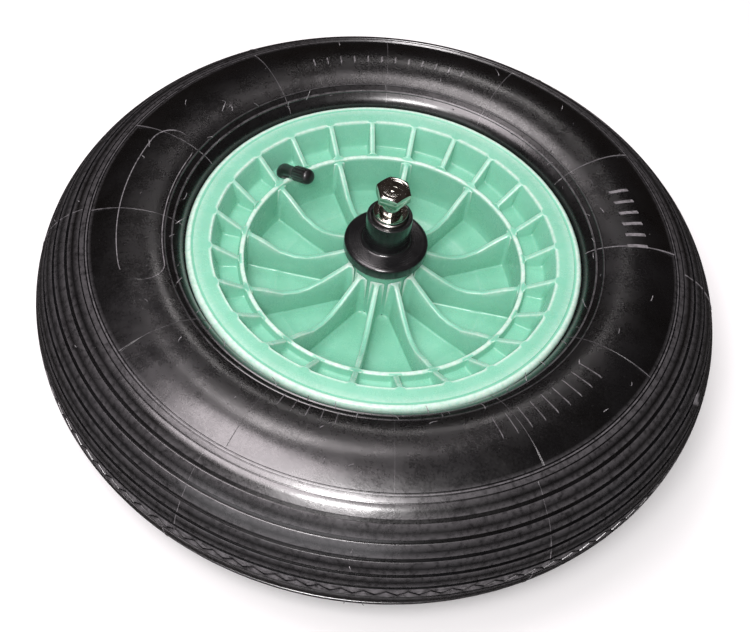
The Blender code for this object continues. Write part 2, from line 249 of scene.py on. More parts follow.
def mirrored(profile):
    return [(r, -z) for r, z in reversed(profile)]


def rounded(profile, radius, steps=4):
    """A closed profile with each corner turned into a small curve."""
    made = []
    count = len(profile)
    for i in range(count):
        before, corner, after = (Vector(profile[(i + k) % count]) for k in (-1, 0, 1))
        back, ahead = before - corner, after - corner
        reach = min(radius, back.length * 0.45, ahead.length * 0.45)
        start, end = corner + back.normalized() * reach, corner + ahead.normalized() * reach
        for k in range(steps + 1):
            t = k / steps
            made.append(tuple(start * (1 - t) ** 2 + corner * 2 * t * (1 - t) + end * t * t))
    return made


def spline(points, steps):
    """Catmull-Rom curve through the inner points."""
    made = []
    table = np.asarray(points, float)
    for a, b, c, d in zip(table, table[1:], table[2:], table[3:]):
        for t in np.linspace(0, 1, steps, endpoint=False):
            bend, twist = 2 * a - 5 * b + 4 * c - d, 3 * b - a - 3 * c + d
            made.append(0.5 * (2 * b + (c - a) * t + bend * t**2 + twist * t**3))
    return np.array(made + [table[-2]])


# ---- tyre surface ----
def tyre_curve():
    """Arc length, radius, height and outward normal along the outside, from the middle of the tread."""
    angle = np.linspace(0, math.pi / 2, 500)
    radius = TYRE_RADIUS - TYRE_CROWN + TYRE_CROWN * np.cos(angle)
    crown = np.stack([radius, TYRE_HALF_WIDTH * np.sin(angle)], 1)
    curve = np.concatenate([crown, spline(SIDEWALL, 40)[1:]])
    arc = np.concatenate([[0.0], np.cumsum(np.linalg.norm(np.diff(curve, axis=0), axis=1))])
    tangent = np.gradient(curve, arc, axis=0)
    tangent /= np.linalg.norm(tangent, axis=1)[:, None]
    return arc, curve[:, 0], curve[:, 1], tangent[:, 1], -tangent[:, 0]


ARC, CURVE_RADIUS, CURVE_HEIGHT, NORMAL_RADIAL, NORMAL_AXIAL = tyre_curve()


def arc_at(radius):
    """Arc length at which the sidewall has this radius."""
    return float(np.interp(-radius, -CURVE_RADIUS, ARC))


def on_tyre(arc, angle, lift):
    """Points on the tyre at an arc length (negative below), an angle and a height off its surface."""
    arc, angle, lift = np.broadcast_arrays(*(np.asarray(v, float) for v in (arc, angle, lift)))
    along = np.abs(arc)
    radius = np.interp(along, ARC, CURVE_RADIUS) + lift * np.interp(along, ARC, NORMAL_RADIAL)
    height = np.interp(along, ARC, CURVE_HEIGHT) + lift * np.interp(along, ARC, NORMAL_AXIAL)
    return np.stack([radius * np.cos(angle), radius * np.sin(angle), np.where(arc < 0, -height, height)], -1)


def ring_bump(radius, lift, half):
    """(arc length, lift) of the rows of one raised ring."""
    arc = arc_at(radius)
    return [(arc - half - 0.4, 0.0), (arc - half, lift), (arc + half, lift), (arc + half + 0.4, 0.0)]


def tread_rows():
    """(arc length, lift) of each row on one side, from the middle of the tread to the bead."""
    rows = []
    for arc in TREAD_GROOVES:
        rows += [(arc - 1.35, 0.0), (arc - 1.08, -0.14), (arc - 0.92, -GROOVE_DEPTH)]
        rows += [(arc + 0.92, -GROOVE_DEPTH), (arc + 1.08, -0.14), (arc + 1.35, 0.0), (arc + 4.9, 0.03)]
    rows += [(55.4, 0.0), (55.65, -0.1), (55.8, -0.85), (56.2, -0.85), (56.4, -0.3), (57.5, -0.3)]
    rows += [(59.2, -0.35), (59.4, -1.1), (59.8, -1.1), (60.0, -0.6), (60.8, -0.6), (61.0, -1.3)]
    rows += [(61.4, -1.3), (61.7, -0.75), (64.0, -0.7), (68.0, -0.45), (73.0, -0.15), (78.0, 0.0)]
    rows += [(arc, 0.0) for arc in np.arange(82.0, arc_at(131.0), 4.0)]
    for ring in GUIDE_RINGS:
        rows += ring_bump(*ring)
    rows += [(arc_at(r), 0.0) for r in (122.6, 121.3, 120.2, 119.3, 118.6, 118.1, 117.8, 117.65)]
    return rows


def tyre_skin(rubber):
    columns = TYRE_COLUMNS
    angle = TURN * np.arange(columns) / columns
    swing = SIPE_SWING * np.array([-1.0, 0.0, 1.0, 0.0])[np.arange(columns) % 4]
    side = tread_rows()
    sipe = [(0.8, 0.0), (0.5, -1.3), (-0.5, -1.3), (-0.8, 0.0)]
    upper = [on_tyre(arc, angle, lift) for arc, lift in reversed(side)]
    middle = [on_tyre(arc + swing, angle, lift) for arc, lift in sipe]
    lower = [on_tyre(-arc, angle, lift) for arc, lift in side]
    bead = list(BEAD)
    liner = [(r, -z) for r, z in LINER] + [(LINER_CROWN, 0.0)] + list(reversed(LINER))
    low_bead = [(r, -z) for r, z in bead]
    rest = revolved(low_bead + liner + list(reversed(bead)), columns)
    points = np.concatenate([np.array(upper + middle + lower), rest])
    skin = grid("tyre_skin", points, sharp=28.0)
    place(skin, rubber, "wheel", ["tyre"])


def ribbon(arcs, angles, half, lift, closed=False):
    """A raised strip that follows a line on the tyre, as a capped skin with four corners to a row."""
    centre = np.stack([arcs, np.interp(np.abs(arcs), ARC, CURVE_RADIUS) * angles], 1)
    ahead = np.roll(centre, -1, axis=0) - np.roll(centre, 1, axis=0)
    if not closed:
        ahead[0], ahead[-1] = centre[1] - centre[0], centre[-1] - centre[-2]
    ahead /= np.linalg.norm(ahead, axis=1)[:, None]
    radius = np.interp(np.abs(arcs), ARC, CURVE_RADIUS)
    corners = []
    for across, height in ((-half, -0.35), (-half * 0.7, lift), (half * 0.7, lift), (half, -0.35)):
        corners.append(on_tyre(arcs - across * ahead[:, 1], angles + across * ahead[:, 0] / radius, height))
    return np.stack(corners, 1)


def side_seams(rubber):
    """Thin mould lines that run down both sidewalls, and short ones across the tread's ribs."""
    chance = random.Random(5)
    strips = []
    edges = [0.9] + [v for arc in TREAD_GROOVES for v in (arc - 1.2, arc + 1.2)] + [TREAD_EDGE]
    for degrees in SEAM_ANGLES:
        for side in (-1, 1):
            angle = math.radians(degrees + chance.uniform(-2.0, 2.0) + 4.0 * side)
            arcs = np.linspace(62.0, arc_at(SEAM_END), 26)
            drift = math.radians(chance.uniform(-0.5, 0.5)) * np.linspace(0, 1, 26) ** 2
            strips.append(ribbon(side * arcs, angle + drift, 0.22, 0.3))
    for degrees in SEAM_ANGLES[::2]:
        for side in (-1, 1):
            for low, high in zip(edges[::2], edges[1::2]):
                angle = math.radians(degrees + 1.2 * side) + chance.uniform(-0.0016, 0.0016)
                arcs = side * np.linspace(low + 0.2, high - 0.2, 6)
                strips.append(ribbon(arcs, np.full(6, angle), 0.28, 0.28))
    seams = gathered("tyre_seams", strips, sharp=60.0)
    place(seams, rubber, "wheel")


def panel_line(middle, reach, width, arc_middle):
    """A closed outline with round ends, on the sidewall: angles in radians, width along the arc."""
    arcs, angles = [], []
    radius = float(np.interp(arc_middle, ARC, CURVE_RADIUS))
    cap = width / radius
    for start, side in ((middle + reach - cap, 1), (middle - reach + cap, -1)):
        for k in range(15):
            t = math.pi * k / 14 - math.pi / 2
            angles.append(start + side * cap * math.cos(t))
            arcs.append(arc_middle + side * width * math.sin(t))
        steps = 22
        for k in range(1, steps):
            share = k / steps
            angles.append(start + share * ((2 * middle - start) - start))
            arcs.append(arc_middle + side * width)
    return np.array(arcs), np.array(angles)


def side_panels(rubber):
    """An empty outlined panel and plain raised bars, in the places where a tyre carries its marks."""
    parts = []
    for side in (-1, 1):
        arcs, angles = panel_line(PANEL_MIDDLE, PANEL_REACH, PANEL_HALF_WIDTH, PANEL_ARC)
        loop = ribbon(side * np.append(arcs, arcs[0]), np.append(angles, angles[0]), 0.3, 0.35)
        parts.append(loop)
        for middle, count, low, high in BAR_GROUPS:
            for k in range(count):
                angle = math.radians(middle + (k - (count - 1) / 2) * BAR_PITCH)
                arcs = side * np.linspace(low, high, 5)
                parts.append(ribbon(arcs, np.full(5, angle), 1.3, 0.4))
    panels = gathered("tyre_panels", parts, sharp=50.0)
    place(panels, rubber, "wheel")


def hair(arc, angle, length, lean, turn):
    """One vent hair: a thin round bar that leaves the tyre and leans over."""
    root = on_tyre(arc, angle, -0.4)
    out = on_tyre(arc, angle, 1.0) - on_tyre(arc, angle, 0.0)
    round_way = np.array([-math.sin(angle), math.cos(angle), 0.0])
    across = np.cross(out, round_way)
    way = round_way * math.cos(turn) + across * math.sin(turn)
    spin = [TURN * k / 6 for k in range(6)]
    rows = []
    for share, thick in HAIR_TAPER:
        rise = length * share * (1 - 0.35 * lean * share)
        centre = root + out * rise + way * (length * lean * share**1.6)
        rows.append([centre + thick * (way * math.cos(a) + np.cross(out, way) * math.sin(a)) for a in spin])
    return np.array(rows)


def vent_hairs(rubber):
    """Hairs close to the rim on both sidewalls, scattered on the sidewalls and along the tread's ribs."""
    chance = random.Random(11)
    hairs = []
    near_rim = arc_at(121.5)

    def grow(arc, angle, lengths, leans):
        length, lean = chance.uniform(*lengths), chance.uniform(*leans)
        hairs.append(hair(arc, angle, length, lean, chance.uniform(0, TURN)))

    for k in range(RIM_HAIRS):
        arc = near_rim - abs(chance.gauss(0, 1)) * 5.0
        side = -1 if k % 2 else 1
        for way, lengths in ((side, (3.5, 6.5)), (-side, (3.0, 6.0))):
            angle = TURN * (k + chance.uniform(-0.3, 0.3)) / RIM_HAIRS
            grow(way * arc, angle, lengths, (0.1, 0.9))
    for k in range(SIDE_HAIRS):
        arc = chance.uniform(66, near_rim - 6)
        arc = -arc if k % 2 else arc
        grow(arc, chance.uniform(0, TURN), (1.5, 4.5), (0.4, 1.1))
    for _ in range(TREAD_HAIRS):
        arc = chance.choice(HAIR_RIBS)
        angle = math.radians(chance.choice(SEAM_ANGLES)) + chance.uniform(-0.03, 0.03)
        grow(arc, angle, (1.2, 2.6), (0.5, 1.0))
    place(gathered("vent_hairs", hairs, sharp=70.0), rubber, "wheel")


# ---- rim ----
def corner_fillet(radius):
    """How much a rib widens where it runs into the flange, the ring or the hub."""
    wide = 0.0
    for wall, side, reach in RIB_ROOTS:
        past = side * (radius - wall)
        into = min(max(past, 0.0), reach) if past > -3.2 else reach
        wide = max(wide, reach - math.sqrt(reach**2 - (reach - into) ** 2))
    return wide


def rim_angles(radius):
    """Angles of the columns of one 15-degree block that starts at a long rib, at this radius."""
    block = TURN / RIM_BLOCKS
    reach = max(radius, 19.4)
    width = block * reach
    widening = np.minimum(np.arange(len(RIB_SIDE)) / 3.0, 1.0)
    near = np.array(RIB_SIDE) + corner_fillet(radius) * widening
    far = width - near[:0:-1]
    middle = width / 2 + (width / 2 - near[-1]) * np.array(MID_SHARES)
    spaced = np.concatenate([near, middle, far])
    even = np.linspace(near[-1], width, 14)[1:-1]
    plain = np.concatenate([near, even])
    share = min(max((reach - 60.0) / 20.0, 0.0), 1.0)
    return (spaced * share + plain * (1 - share)) / reach


def rim_column_angles(radius):
    """Angles of all columns: long ribs at multiples of 30 degrees and short ones between them."""
    ahead = rim_angles(radius)
    block = TURN / RIM_BLOCKS
    back = np.concatenate([[0.0], block - ahead[:0:-1]])
    blocks = [(ahead if i % 2 == 0 else back) + i * block for i in range(RIM_BLOCKS)]
    return np.concatenate(blocks)


def rib_weights():
    """For each column: its place beside a long rib, or a short one, as an index, or -1."""
    long_side, short_side = [], []
    last = len(RIB_SIDE) - 1
    for i in range(RIM_BLOCKS):
        near = list(range(last + 1)) + [-1] * (len(MID_SHARES) + last)
        far = [-1] * (last + 1 + len(MID_SHARES)) + list(range(last, 0, -1))
        long_side += near if i % 2 == 0 else far
        short_side += far if i % 2 == 0 else near
    return np.array(long_side), np.array(short_side)


def rib_height(rise, place_index):
    """Height of a rib over its base, at each column's place beside it."""
    soft = np.minimum(1.0, rise / 2.5)
    crest = len(RIB_DROP)
    made = np.zeros(len(place_index))
    for k, drop in enumerate(RIB_DROP):
        made[place_index == k] = rise - drop * soft
    for k, foot in enumerate(RIB_FOOT):
        made[place_index == crest + k] = foot * soft
    return np.maximum(made, 0.0)


def rim_row(radius, height, side):
    """One row of the rim's upper (side 1) or lower (side -1) face, with the ribs that cross it."""
    angle = rim_column_angles(radius)
    long_side, short_side = rib_weights()
    crest = float(np.interp(radius, *zip(*RIB_CREST)))
    lifted = np.full(len(angle), height)
    if RIB_START < radius < RIB_END:
        rise = max(0.0, crest - height)
        lifted = lifted + rib_height(rise, long_side)
        if radius > SHORT_RIB_START:
            lifted = lifted + rib_height(rise, short_side)
    if side > 0 and NOTCH_SPAN[0] < radius < NOTCH_SPAN[1]:
        columns = len(angle) // RIM_BLOCKS
        first = NOTCH_BLOCK * columns + len(RIB_SIDE)
        back_first = first - 1 if NOTCH_BLOCK % 2 else first
        cut = slice(back_first + 1, back_first + 4)
        lifted[cut] = np.minimum(lifted[cut], NOTCH_FLOOR)
    return np.stack([radius * np.cos(angle), radius * np.sin(angle), side * lifted], -1)


def barrel_row(radius, height):
    """A row on the barrel between the beads, which has no ribs."""
    angle = rim_column_angles(radius)
    return np.stack([radius * np.cos(angle), radius * np.sin(angle), height + 0 * angle], -1)


def rim_body(plastic):
    upper = HUB_BORE + DISH + RING + POCKET + FLANGE
    rows = [rim_row(*HUB_SHOULDER, side) for side in (-1, 1)]
    rows += [rim_row(r, z, 1) for r, z in upper]
    rows += [barrel_row(r, z) for r, z in list(BARREL) + mirrored(BARREL)]
    rows += [rim_row(r, z, -1) for r, z in reversed(upper)]
    body = grid("rim_body", np.array(rows), sharp=38.0)
    place(body, plastic, "wheel", ["rim"])


# ---- axle, spacers, washers, bolts ----
def axle_bar(steel):
    end = [(TAPPED_RADIUS, AXLE_HALF - 0.9), (TAPPED_RADIUS + 0.8, AXLE_HALF), (AXLE_RADIUS - 1.0, AXLE_HALF)]
    end += [(AXLE_RADIUS - 0.2, AXLE_HALF - 0.7), (AXLE_RADIUS, AXLE_HALF - 1.6)]
    well = [(0.02, TAPPED_BOTTOM - 3.5), (TAPPED_RADIUS - 0.2, TAPPED_BOTTOM)]
    well.append((TAPPED_RADIUS, TAPPED_BOTTOM + 0.5))
    upper = well + end
    bar = grid("axle_bar", revolved(upper + mirrored(upper), 96), closed=False)
    place(bar, steel, "axle_set", ["axle"])


def spacer_piece(label, side, plastic):
    made = rounded(SPACER, 0.8)
    if side < 0:
        made = mirrored(made)
    piece = grid(f"spacer_{label}_skin", revolved(made, 128), sharp=40.0)
    place(piece, plastic, "axle_set", [f"spacer_{label}"])


def washer_piece(label, side, zinc):
    """A split spring washer: one turn of square wire with soft edges."""
    low = AXLE_HALF + 0.3
    high = low + WASHER_THICK
    corners = [(WASHER_BORE, low), (WASHER_RADIUS, low), (WASHER_RADIUS, high), (WASHER_BORE, high)]
    radius, height = np.array(rounded(corners, 0.45)).T
    rows = []
    for degrees in np.linspace(*WASHER_TURN, 97):
        angle = math.radians(degrees) + (height - low) * WASHER_LEAD
        rows.append(np.stack([radius * np.cos(angle), radius * np.sin(angle), side * height], -1))
    piece = grid(f"spring_washer_{label}_skin", np.array(rows), closed=False, sharp=40.0)
    place(piece, zinc, "axle_set", [f"spring_washer_{label}"])


def bolt_rows():
    """Rows of an M12 bolt from its tip to the middle of its head, which starts at height 0."""
    angle = TURN * np.arange(BOLT_COLUMNS) / BOLT_COLUMNS
    flat_row = 0 * angle
    local = (angle + math.pi / 6) % (math.pi / 3) - math.pi / 6
    hexagon = BOLT_AF / 2 / np.cos(local)
    rows = []
    bottom = -BOLT_LENGTH
    for height in np.arange(bottom, -1.2, THREAD_PITCH / 9):
        phase = (height / THREAD_PITCH - angle / TURN) % 1.0
        tooth = 1.0 - np.abs(2 * phase - 1.0)
        cut = np.clip(tooth * 1.5 - 0.25, 0.0, 1.0) * THREAD_DEPTH
        lead = min(1.3, max(0.0, bottom + 1.3 - height))
        runout = min(1.0, max(0.0, (PLAIN_SHANK - height) / 1.2))
        rows.append((np.minimum(BOLT_SHANK - cut * runout, BOLT_SHANK - lead), height))
    washer_face = BOLT_AF / 2 * 0.96
    rows += [(BOLT_SHANK, -0.9), (BOLT_SHANK + 0.35, 0.0), (washer_face, 0.0), (washer_face + 0.1, 0.35)]
    rows += [(hexagon - 0.12, 0.42), (hexagon, 0.62)]
    flat = BOLT_AF / 2 * 0.955
    shoulder = BOLT_HEAD - (hexagon - flat) * math.tan(math.radians(30.0))
    rows += [(hexagon, shoulder - 0.25), (hexagon - 0.1, shoulder - 0.02)]
    rows += [(flat + 0.15, BOLT_HEAD - 0.1), (flat - 0.25, BOLT_HEAD)]
    rows += [(radius, BOLT_HEAD + height) for radius, height in HEAD_DISH]
    return np.array([np.stack([r * np.cos(angle), r * np.sin(angle), z + flat_row], -1) for r, z in rows])


def bolt_piece(label, side, turn, zinc):
    points = bolt_rows()
    spin = np.array(Matrix.Rotation(turn, 3, "Z"))
    points = points @ spin.T
    if side < 0:
        points = points @ np.array(Matrix.Rotation(math.pi, 3, "X")).T
    points = points + np.array([0, 0, side * BOLT_UNDER])
    piece = grid(f"bolt_{label}_skin", points, closed=False, sharp=24.0)
    place(piece, zinc, f"{label}_bolt", [f"bolt_{label}"])


# ---- valve ----
def valve_frame(travel):
    """Centre, in-plane normal and tangent of the valve's line, at a distance along it."""
    tilt = min(max((travel - VALVE_STRAIGHT) / VALVE_BEND, 0.0), VALVE_TILT)
    across, rise = VALVE_BEND * (1 - math.cos(tilt)), VALVE_BEND * math.sin(tilt)
    base = min(travel, VALVE_STRAIGHT)
    centre = np.array([VALVE_RADIUS - across, 0.0, VALVE_FOOT + base + rise])
    tangent = np.array([-math.sin(tilt), 0.0, math.cos(tilt)])
    centre = centre + tangent * max(0.0, travel - BEND_END)
    return centre, np.array([math.cos(tilt), 0.0, math.sin(tilt)]), tangent


def valve_rows(profile, count, flute=0.0):
    """Rows of a round piece along the valve, from (distance along it, radius)."""
    angle = TURN * np.arange(count) / count
    across = np.array([0.0, 1.0, 0.0])
    turn = np.array(Matrix.Rotation(VALVE_ANGLE, 3, "Z"))
    rows = []
    for travel, radius in profile:
        centre, normal, _ = valve_frame(travel)
        reach = radius - flute * (0.5 + 0.5 * np.cos(18 * angle)) * (radius > 4.6)
        ring = centre + normal * (reach * np.cos(angle))[:, None] + across * (reach * np.sin(angle))[:, None]
        rows.append(ring @ turn.T)
    return np.array(rows)


def stem_profile():
    end = SLEEVE_END
    made = [(0.0, 3.7), (0.3, 4.0), (1.9, 5.6), (2.4, 6.0), (5.4, 6.0), (6.0, 5.5), (6.9, 4.6)]
    made += [(travel, 4.6) for travel in (9.0, 11.5)]
    for k in range(13):
        travel = VALVE_STRAIGHT + (BEND_END - VALVE_STRAIGHT) * k / 12
        made.append((travel, 4.55 - 0.075 * k + (0.14 if k % 3 == 1 else 0.0)))
    made += [(BEND_END + 1.5, 3.55), (BEND_END + 5.0, 3.5), (end - 0.9, 3.5), (end - 0.3, 3.4), (end, 3.1)]
    return made


def valve_bore(radius, end):
    bend = [VALVE_STRAIGHT + (BEND_END - VALVE_STRAIGHT) * k / 12 for k in range(13)]
    return [(travel, radius) for travel in [0.0] + bend + [end]]


def valve_pieces(finishes):
    end, tip = SLEEVE_END, VALVE_TIP
    stem = stem_profile() + list(reversed(valve_bore(2.5, end)))
    piece = grid("valve_stem_skin", valve_rows(stem, 40), sharp=50.0)
    place(piece, finishes["valve_rubber"], "wheel", ["valve_stem"])

    thread = [(end + 0.3, 2.2), (end + 0.35, 3.5), (end + 0.6, 3.7)]
    for k in range(24):
        thread.append((end + 0.8 + 0.5 * k, 3.7 if k % 2 == 0 else 3.35))
    thread += [(tip - 0.4, 3.6), (tip, 3.2)]
    outside = [(-0.6, 2.0)] + [(t, 2.1) for t, _ in valve_bore(2.1, end)[1:]] + thread
    inside = [(tip, 1.6), (end + 3.0, 1.6)] + list(reversed(valve_bore(1.2, end)[1:])) + [(-0.6, 1.2)]
    piece = grid("valve_tube_skin", valve_rows(outside + inside, 32), sharp=40.0)
    place(piece, finishes["valve_brass"], "wheel", ["valve_tube"])

    pin = [(end + 4.0, 1.1), (end + 4.2, 1.2), (tip - 3.4, 1.2), (tip - 3.1, 0.7), (tip - 0.8, 0.7)]
    pin.append((tip - 0.6, 0.5))
    piece = grid("valve_pin_skin", valve_rows(pin, 24), closed=False, sharp=40.0)
    place(piece, finishes["valve_brass"], "pin", ["valve_pin"])

    well = [(tip + 0.6, 0.05), (tip + 0.6, 3.9), (end + 1.3, 3.9), (end + 1.0, 4.1)]
    wall = [(end + 1.0, 4.5), (end + 1.2, 4.9), (end + 1.9, 4.95), (end + 2.2, 4.95)]
    wall += [(tip - 1.2, 4.9), (tip - 0.6, 4.8)]
    dome = [(tip + 2.35 - 2.6 * (1 - math.cos(a)), 4.62 * math.sin(a)) for a in np.linspace(1.35, 0.02, 9)]
    piece = grid("valve_cap_skin", valve_rows(well + wall + dome, 108, flute=0.3), closed=False, sharp=50.0)
    place(piece, finishes["cap_plastic"], "cap", ["valve_cap"])


# ---- finishes ----
DUST = (0.10, 0.098, 0.10)
# pale edge colour for rubber: partly scuffing, partly a painted highlight
SCUFF_AND_HIGHLIGHT = (0.20, 0.19, 0.20)
GREEN_DEEP = (0.165, 0.44, 0.31)
GREEN_LIGHT = (0.19, 0.48, 0.345)
GREEN_CHALK = (0.26, 0.55, 0.42)
# pale colour for green edges: partly rubbed wear, partly a painted highlight on the rib crests
GREEN_RUBBED_HIGHLIGHT = (0.80, 0.82, 0.79)
GRIME = (0.10, 0.07, 0.045)


class Finish:
    """A procedural material. Sizes are in mm, and object coordinates carry them."""

    def __init__(self, name, constants):
        self.material = bpy.data.materials.new(name)
        self.material.use_nodes = True
        self.tree = self.material.node_tree
        self.shader = self.tree.nodes["Principled BSDF"]
        self.place = self.tree.nodes.new("ShaderNodeTexCoord").outputs["Object"]
        for socket, value in constants.items():
            self.shader.inputs[socket].default_value = value

    def link(self, output, node, socket):
        self.tree.links.new(output, node.inputs[socket])

    def stretched(self, scale):
        node = self.tree.nodes.new("ShaderNodeMapping")
        node.inputs["Scale"].default_value = scale
        self.link(self.place, node, "Vector")
        return node.outputs["Vector"]

    def turned(self):
        """Coordinates that only change with the radius and the height, so that marks run round."""
        split = self.tree.nodes.new("ShaderNodeSeparateXYZ")
        self.link(self.place, split, "Vector")
        flat = self.tree.nodes.new("ShaderNodeCombineXYZ")
        self.link(split.outputs["X"], flat, "X")
        self.link(split.outputs["Y"], flat, "Y")
        length = self.tree.nodes.new("ShaderNodeVectorMath")
        length.operation = "LENGTH"
        self.link(flat.outputs["Vector"], length, 0)
        joined = self.tree.nodes.new("ShaderNodeCombineXYZ")
        self.link(length.outputs["Value"], joined, "X")
        self.link(split.outputs["Z"], joined, "Z")
        return joined.outputs["Vector"]

    def noise(self, size, detail=4.0, vector=None, rough=0.55):
        node = self.tree.nodes.new("ShaderNodeTexNoise")
        node.inputs["Scale"].default_value = 1.0 / (size * MM)
        node.inputs["Detail"].default_value = detail
        node.inputs["Roughness"].default_value = rough
        self.link(vector or self.place, node, "Vector")
        return node.outputs["Fac"]

    def outer_edges(self, low, high):
        """1 on outer edges and 0 elsewhere."""
        node = self.tree.nodes.new("ShaderNodeNewGeometry")
        return self.spread(node.outputs["Pointiness"], low, high, 0.0, 1.0)

    def spread(self, value, low, high, start, end):
        node = self.tree.nodes.new("ShaderNodeMapRange")
        self.link(value, node, "Value")
        for socket, number in zip(("From Min", "From Max", "To Min", "To Max"), (low, high, start, end)):
            node.inputs[socket].default_value = number
        return node.outputs["Result"]

    def mottle(self, size, start, end, low=0.3, high=0.7, detail=4.0):
        """Noise of this size, of which the stretch from low to high runs from start to end."""
        return self.spread(self.noise(size, detail), low, high, start, end)

    def combined(self, operation, one, two):
        node = self.tree.nodes.new("ShaderNodeMath")
        node.operation = operation
        for index, value in enumerate((one, two)):
            if isinstance(value, (int, float)):
                node.inputs[index].default_value = value
            else:
                self.link(value, node, index)
        return node.outputs["Value"]

    def plus(self, one, two):
        return self.combined("ADD", one, two)

    def times(self, one, two):
        return self.combined("MULTIPLY", one, two)

    def blend(self, share, one, two):
        node = self.tree.nodes.new("ShaderNodeMix")
        node.data_type = "RGBA"
        self.link(share, node, 0)
        for index, value in ((6, one), (7, two)):
            if isinstance(value, tuple):
                node.inputs[index].default_value = (*value, 1.0)
            else:
                self.link(value, node, index)
        return node.outputs[2]

    def colour(self, output):
        self.link(output, self.shader, "Base Color")

    def roughness(self, output):
        self.link(output, self.shader, "Roughness")

    def relief(self, layers):
        """Bumps from (height output, depth in mm), one on another."""
        normal = None
        for output, depth in layers:
            node = self.tree.nodes.new("ShaderNodeBump")
            node.inputs["Distance"].default_value = depth * MM
            node.inputs["Strength"].default_value = 1.0
            self.link(output, node, "Height")
            if normal:
                self.link(normal, node, "Normal")
            normal = node.outputs["Normal"]
        self.link(normal, self.shader, "Normal")


def rubber(name, dark, light, low, high):
    """Moulded rubber: cloudy black with dust specks, scuffed edges that also carry a painted highlight, and
    fine grain.
    """
    made = Finish(name, {"Specular IOR Level": 0.95, "Coat Weight": 0.35, "Coat Roughness": 0.18})
    base = made.blend(made.mottle(38.0, 0.0, 1.0, 0.35, 0.65, 5.0), dark, light)
    dusty = made.blend(made.mottle(0.9, 0.0, 0.5, 0.72, 0.80, 2.0), base, DUST)
    # pale edges and seams: partly scuffed rubber, partly a painted highlight that draws the light lines along
    # groove edges
    edge = made.times(made.outer_edges(0.52, 0.60), made.mottle(3.0, 0.25, 1.0, 0.3, 0.55))
    made.colour(made.blend(edge, dusty, SCUFF_AND_HIGHLIGHT))
    made.roughness(made.plus(made.mottle(16.0, low, high, detail=6.0), made.mottle(1.4, -0.03, 0.05)))
    lumps, grain, fine = made.noise(26.0, 3.0), made.noise(1.1, 4.0), made.noise(0.35, 2.0)
    made.relief([(lumps, 0.35), (grain, 0.035), (fine, 0.012)])
    return made.material


def green_plastic(name):
    """Moulded polypropylene: two greens, chalky patches, and edges that are rubbed pale and carry a painted
    highlight.
    """
    made = Finish(name, {"Specular IOR Level": 0.5, "Subsurface Weight": 0.08, "Subsurface Scale": 0.002})
    base = made.blend(made.mottle(30.0, 0.0, 1.0, 0.35, 0.65, 5.0), GREEN_DEEP, GREEN_LIGHT)
    hazed = made.blend(made.times(made.mottle(4.0, 0.0, 0.35, 0.5, 0.75, 6.0), 0.6), base, GREEN_CHALK)
    # pale rib crests and edges: partly rubbed wear, partly a painted highlight standing in for the lit crests
    rub_and_highlight = made.times(made.outer_edges(0.513, 0.565), made.mottle(2.5, 0.5, 0.95, 0.3, 0.6))
    made.colour(made.blend(rub_and_highlight, hazed, GREEN_RUBBED_HIGHLIGHT))
    made.roughness(made.plus(made.mottle(12.0, 0.20, 0.33, detail=5.0), made.mottle(0.8, -0.02, 0.05)))
    made.relief([(made.noise(14.0, 3.0), 0.12), (made.noise(0.9, 4.0), 0.018)])
    return made.material


def black_plastic(name, low, high):
    """Glossy black plastic with faint turned rings and greyed edges."""
    made = Finish(name, {"Specular IOR Level": 0.55, "Coat Weight": 0.25, "Coat Roughness": 0.12})
    base = made.blend(made.mottle(9.0, 0.0, 1.0), (0.004, 0.004, 0.0045), (0.009, 0.009, 0.0095))
    edge = made.times(made.outer_edges(0.52, 0.6), made.mottle(1.5, 0.2, 0.8, 0.35, 0.6))
    made.colour(made.blend(edge, base, (0.07, 0.07, 0.07)))
    rings = made.noise(0.5, 3.0, made.turned())
    made.roughness(made.plus(made.spread(rings, 0.3, 0.7, low, high), made.mottle(6.0, 0.0, 0.06)))
    made.relief([(rings, 0.006), (made.noise(2.0, 4.0), 0.012)])
    return made.material


def metal(name, dull, bright, low, high, turned=True):
    """Bare or plated metal with grime, edges made bright by wear, and marks that run round or across."""
    made = Finish(name, {"Metallic": 1.0})
    base = made.blend(made.mottle(5.0, 0.0, 1.0, 0.35, 0.65, 5.0), dull, bright)
    dirty = made.blend(made.mottle(2.6, 0.0, 0.6, 0.58, 0.74, 6.0), base, GRIME)
    made.colour(made.blend(made.outer_edges(0.53, 0.62), dirty, tuple(min(1.0, c * 1.25) for c in bright)))
    marks = made.noise(0.22, 3.0, made.turned() if turned else made.stretched((1.0, 1.0, 6.0)))
    made.roughness(made.plus(made.spread(marks, 0.3, 0.7, low, high), made.mottle(3.0, 0.0, 0.08)))
    made.relief([(marks, 0.004), (made.noise(1.6, 4.0), 0.010)])
    return made.material


def nylon(name):
    """Cream nylon."""
    made = Finish(name, {"Specular IOR Level": 0.5, "Subsurface Weight": 0.15, "Subsurface Scale": 0.002})
    made.colour(made.blend(made.mottle(4.0, 0.0, 1.0), (0.55, 0.51, 0.40), (0.66, 0.62, 0.52)))
    made.roughness(made.mottle(1.5, 0.4, 0.55))
    made.relief([(made.noise(0.8), 0.01)])
    return made.material


